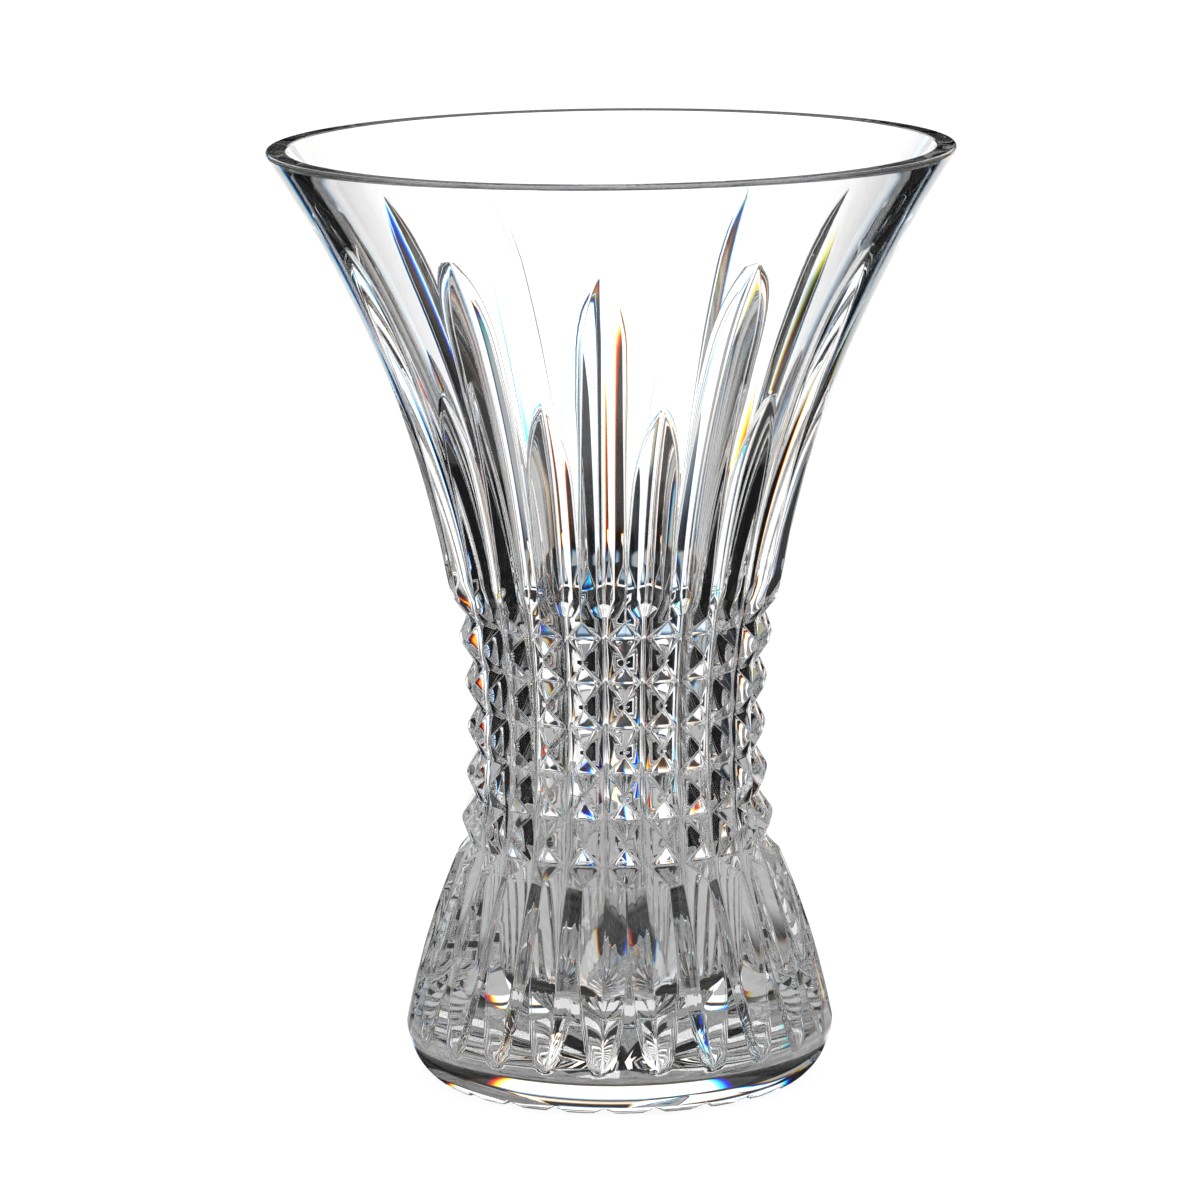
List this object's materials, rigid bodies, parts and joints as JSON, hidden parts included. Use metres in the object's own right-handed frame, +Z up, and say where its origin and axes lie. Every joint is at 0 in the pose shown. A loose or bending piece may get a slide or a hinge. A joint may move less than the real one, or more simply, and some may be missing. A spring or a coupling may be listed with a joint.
{
  "type": "cut crystal vase",
  "caption": "Flared clear crystal vase with a narrow waist of cut pyramids, tall and short cut leaves above, a fluted base and a cut star underneath.",
  "frame": {"origin": "centre of the flat underside, on the surface that the vase stands on", "axes": "+Z up along the vase's axis; the valley of a tall leaf lies towards -Y, the front"},
  "size_m": [0.1484, 0.1484, 0.2032],
  "materials": {
    "crystal": "colourless lead crystal, acid-polished cuts and a fire-bright plain surface"
  },
  "bodies": {
    "root": {"crystal_body": "crystal"}
  },
  "joints": []
}
